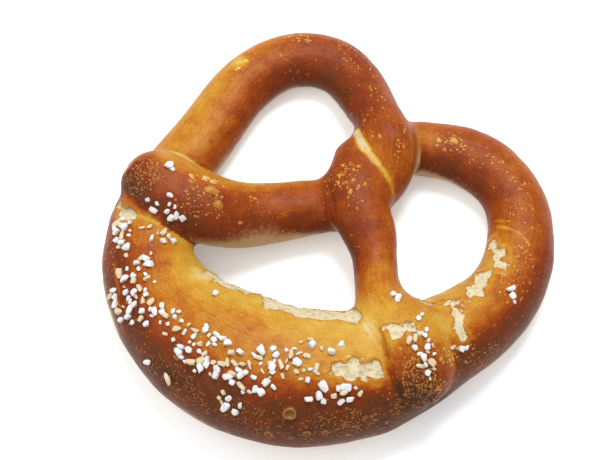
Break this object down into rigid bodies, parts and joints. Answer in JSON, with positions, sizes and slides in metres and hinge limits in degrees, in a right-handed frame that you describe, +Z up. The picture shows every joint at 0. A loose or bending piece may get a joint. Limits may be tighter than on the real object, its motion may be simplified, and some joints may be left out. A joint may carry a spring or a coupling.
{
  "type": "soft pretzel",
  "caption": "Soft lye pretzel with a thick belly, thin crossed arms in a full twist and ends pressed on to the belly, coarse salt on top.",
  "frame": {"origin": "on the tray, under the middle of the pretzel's bounding box", "axes": "+Z up from the tray, +Y from the belly to the twist between the loops, +X to the right-hand loop seen from above with the belly nearest"},
  "size_m": [0.1591, 0.1628, 0.0361],
  "materials": {
    "crust": "baked lye crust, chestnut brown with a soft gloss, golden on the belly and cream where it tore",
    "salt": "coarse pretzel salt, opaque white and pale beige grains"
  },
  "bodies": {
    "root": {"pretzel": "crust"}
  },
  "joints": []
}
